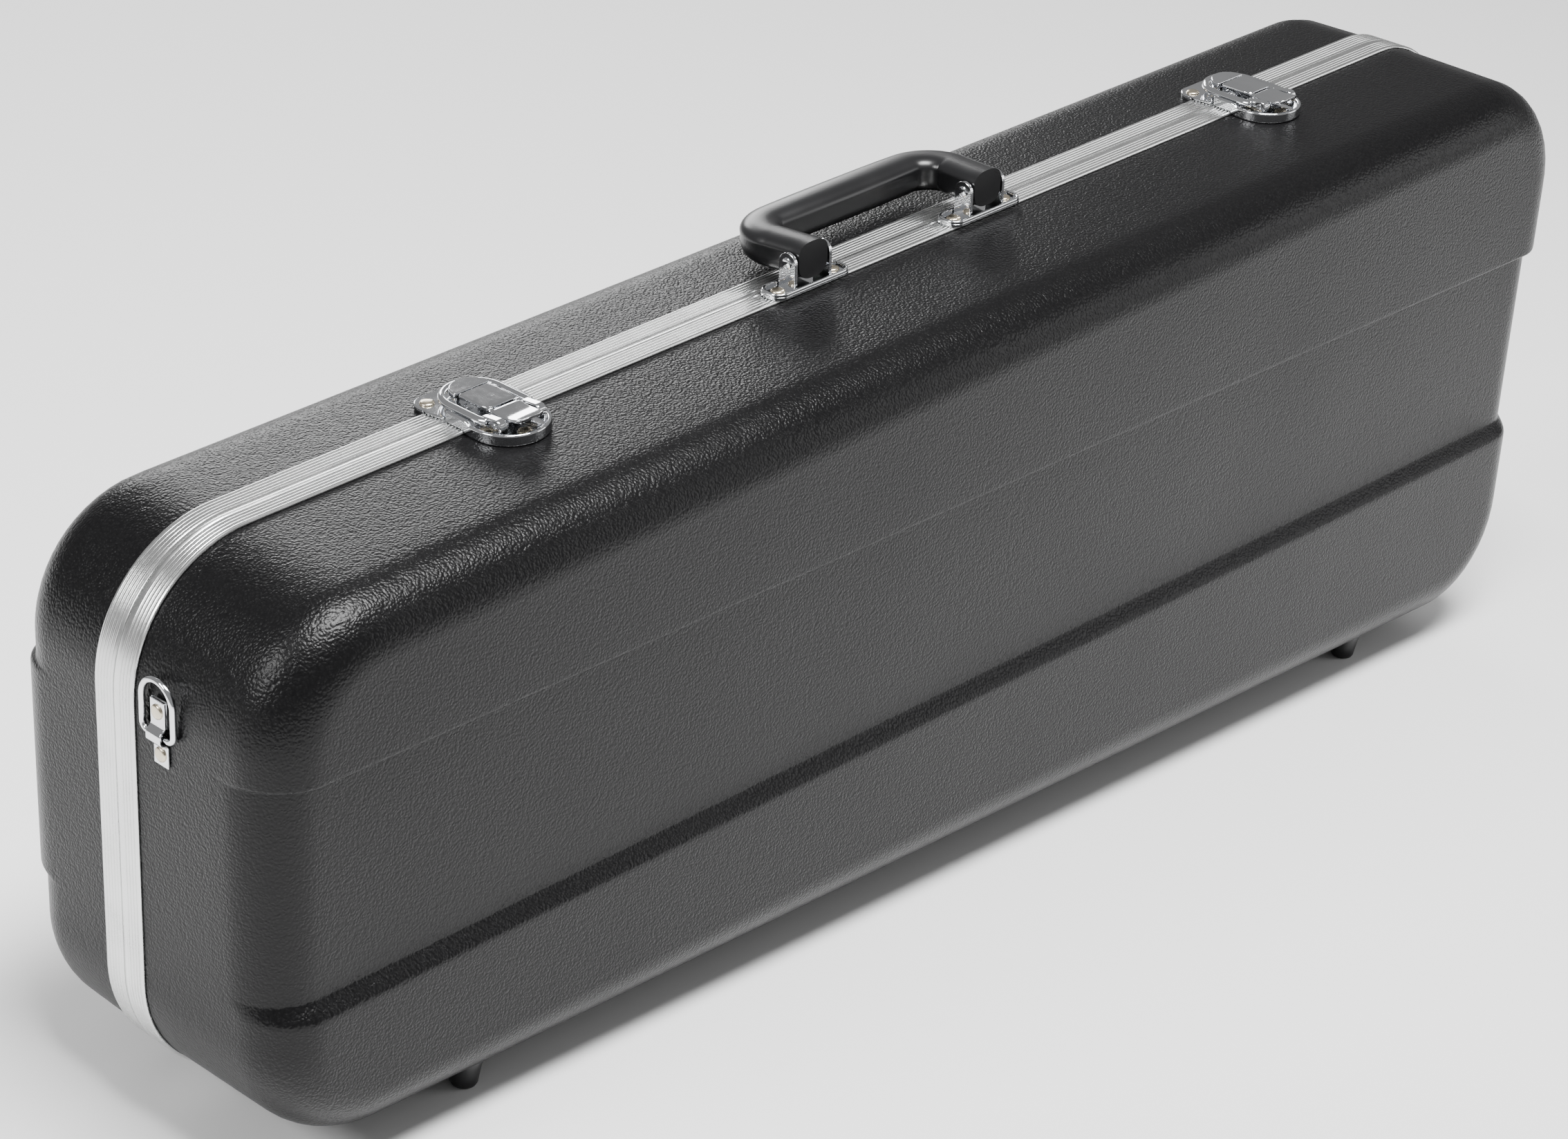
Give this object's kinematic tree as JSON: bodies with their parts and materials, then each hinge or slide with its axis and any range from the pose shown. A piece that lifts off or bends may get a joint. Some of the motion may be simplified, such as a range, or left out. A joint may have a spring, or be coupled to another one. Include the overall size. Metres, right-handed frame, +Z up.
{
  "type": "violin case",
  "caption": "Tapered oblong hard case for a violin: pebbled black shells joined by aluminium rims, with draw latches, a folding grip, strap rings, feet, a violin-shaped bed and a pocket.",
  "frame": {"origin": "on the floor under the middle of the case's bounding box, with the case standing on its four feet", "axes": "+X along the case towards its taller body end, -Y out of the base's face (the front in the picture), +Y out of the lid's back, +Z up towards the handle"},
  "size_m": [0.8008, 0.155, 0.2927],
  "materials": {
    "shell_plastic": "pebbled leather grain, low sheen",
    "rim_aluminium": "satin, with fine lengthwise ridges",
    "bright_chrome": "polished",
    "rivet_metal": "pale satin",
    "hinge_steel": "satin",
    "handle_plastic": "smooth, low sheen",
    "foot_plastic": "smooth, satin",
    "plush_lining": "short plush",
    "strap_fabric": "woven",
    "snap_metal": "satin",
    "clip_plastic": "smooth"
  },
  "bodies": {
    "base": {"base_liner": "plush_lining", "base_shell": "shell_plastic", "base_valance": "rim_aluminium", "bed_lower_left": "plush_lining", "bed_lower_right": "plush_lining", "bed_upper_left": "plush_lining", "bed_upper_right": "plush_lining", "bracket_rivets": "rivet_metal", "foot_base_left": "foot_plastic", "foot_base_right": "foot_plastic", "handle_bracket_left": "bright_chrome", "handle_bracket_right": "bright_chrome", "handle_pin_left": "bright_chrome", "handle_pin_right": "bright_chrome", "hinge_leaf_base_left": "hinge_steel", "hinge_leaf_base_right": "hinge_steel", "hinge_pin_left": "hinge_steel", "hinge_pin_right": "hinge_steel", "hinge_rivets_base": "rivet_metal", "keeper_rivets": "rivet_metal", "latch_lever_pin_left": "bright_chrome", "latch_lever_pin_right": "bright_chrome", "latch_plate_left": "bright_chrome", "latch_plate_right": "bright_chrome", "latch_rivets": "rivet_metal", "neck_block": "plush_lining", "neck_strap": "strap_fabric", "pocket_hinge": "snap_metal", "ring_keeper_left": "bright_chrome", "ring_keeper_right": "bright_chrome", "strap_stud": "snap_metal"},
    "lid": {"bow_clip_lower": "clip_plastic", "bow_clip_upper": "clip_plastic", "bow_sleeve_lower": "strap_fabric", "bow_sleeve_upper": "strap_fabric", "catch_rivets": "rivet_metal", "foot_lid_left": "foot_plastic", "foot_lid_right": "foot_plastic", "hinge_leaf_lid_left": "hinge_steel", "hinge_leaf_lid_right": "hinge_steel", "hinge_rivets_lid": "rivet_metal", "latch_catch_left": "bright_chrome", "latch_catch_right": "bright_chrome", "lid_liner": "plush_lining", "lid_shell": "shell_plastic", "lid_valance": "rim_aluminium"},
    "handle": {"handle_grip": "handle_plastic"},
    "latch_lever_left": {"latch_lever_left": "bright_chrome"},
    "latch_bail_left": {"latch_bail_left": "bright_chrome", "latch_bail_pins_left": "bright_chrome"},
    "strap_ring_left": {"strap_ring_left": "bright_chrome"},
    "latch_lever_right": {"latch_lever_right": "bright_chrome"},
    "latch_bail_right": {"latch_bail_right": "bright_chrome", "latch_bail_pins_right": "bright_chrome"},
    "strap_ring_right": {"strap_ring_right": "bright_chrome"},
    "pocket_lid": {"pocket_lid": "plush_lining", "pocket_tab": "strap_fabric"},
    "bow_spinner_upper": {"bow_spinner_upper": "clip_plastic"},
    "bow_spinner_lower": {"bow_spinner_lower": "clip_plastic"}
  },
  "joints": [
    {"name": "lid_hinge", "type": "hinge", "parent": "base", "child": "lid", "pos_m": [0, 0.0085, 0.0082], "axis": [-1, 0, 0], "range_deg": [0, 105]},
    {"name": "handle_hinge", "type": "hinge", "parent": "base", "child": "handle", "pos_m": [-0.00375, 0.0019, 0.27798], "axis": [0.9971, 0, 0.0757], "range_deg": [0, 180]},
    {"name": "latch_lever_left", "type": "hinge", "parent": "base", "child": "latch_lever_left", "pos_m": [-0.22837, 0.0071, 0.2539], "axis": [-0.9971, 0, -0.0757], "range_deg": [0, 90]},
    {"name": "latch_bail_left", "type": "hinge", "parent": "latch_lever_left", "child": "latch_bail_left", "pos_m": [-0.22835, -0.0145, 0.2537], "axis": [-0.9971, 0, -0.0757], "range_deg": [-65, 0]},
    {"name": "latch_lever_right", "type": "hinge", "parent": "base", "child": "latch_lever_right", "pos_m": [0.2349, 0.0071, 0.28909], "axis": [-0.9971, 0, -0.0757], "range_deg": [0, 90]},
    {"name": "latch_bail_right", "type": "hinge", "parent": "latch_lever_right", "child": "latch_bail_right", "pos_m": [0.23491, -0.0145, 0.28889], "axis": [-0.9971, 0, -0.0757], "range_deg": [-65, 0]},
    {"name": "strap_ring_left", "type": "hinge", "parent": "base", "child": "strap_ring_left", "pos_m": [-0.39663, -0.0175, 0.17733], "axis": [0, -1, 0], "range_deg": [0, 165]},
    {"name": "strap_ring_right", "type": "hinge", "parent": "base", "child": "strap_ring_right", "pos_m": [0.39663, -0.0175, 0.20741], "axis": [0, 1, 0], "range_deg": [0, 165]},
    {"name": "pocket_lid_hinge", "type": "hinge", "parent": "base", "child": "pocket_lid", "pos_m": [-0.16163, -0.0005, 0.23227], "axis": [0.9993, 0, 0.0379], "range_deg": [0, 96]},
    {"name": "bow_spinner_upper", "type": "hinge", "parent": "lid", "child": "bow_spinner_upper", "pos_m": [0.2153, 0.052, 0.18853], "axis": [0, 1, 0], "range_deg": [-90, 90]},
    {"name": "bow_spinner_lower", "type": "hinge", "parent": "lid", "child": "bow_spinner_lower", "pos_m": [0.21848, 0.052, 0.10459], "axis": [0, 1, 0], "range_deg": [-90, 90]}
  ],
  "couplings": [
    {"joint": "latch_bail_left", "follows": "latch_lever_left", "ratio": -0.7},
    {"joint": "latch_bail_right", "follows": "latch_lever_right", "ratio": -0.7},
    {"joint": "pocket_lid_hinge", "follows": "lid_hinge", "ratio": 0.9}
  ]
}
